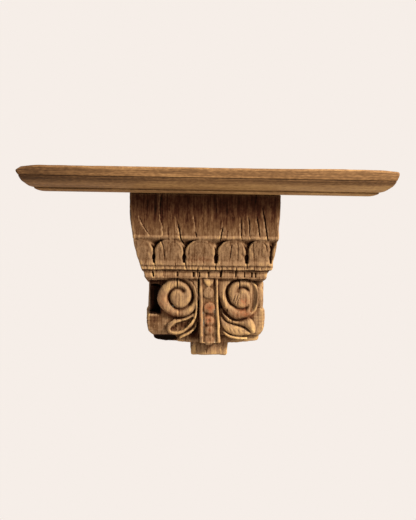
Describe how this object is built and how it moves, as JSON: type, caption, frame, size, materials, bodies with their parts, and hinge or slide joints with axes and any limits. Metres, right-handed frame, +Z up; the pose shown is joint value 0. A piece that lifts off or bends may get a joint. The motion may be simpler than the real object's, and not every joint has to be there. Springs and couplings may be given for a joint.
{
  "type": "corbel wall shelf",
  "caption": "Carved wooden corbel with lotus petals, scrolls and a bead column, carrying a moulded shelf board on a wall.",
  "frame": {"origin": "fixing point on the corbel's flat back face, on its centre line, 120 mm below the shelf board's underside; the wall is the plane Y = 0", "axes": "+X to the right seen from the room, +Y into the wall, +Z up; the carved front faces -Y"},
  "size_m": [0.61, 0.226, 0.3113],
  "materials": {
    "board_timber": "waxed, mid brown, horizontal grain, rubbed pale along the top edge",
    "carved_timber": "old worn timber, dark in the recesses and golden on the worn edges, with traces of red paint"
  },
  "bodies": {
    "root": {"shelf_board": "board_timber", "carved_corbel": "carved_timber"}
  },
  "joints": []
}
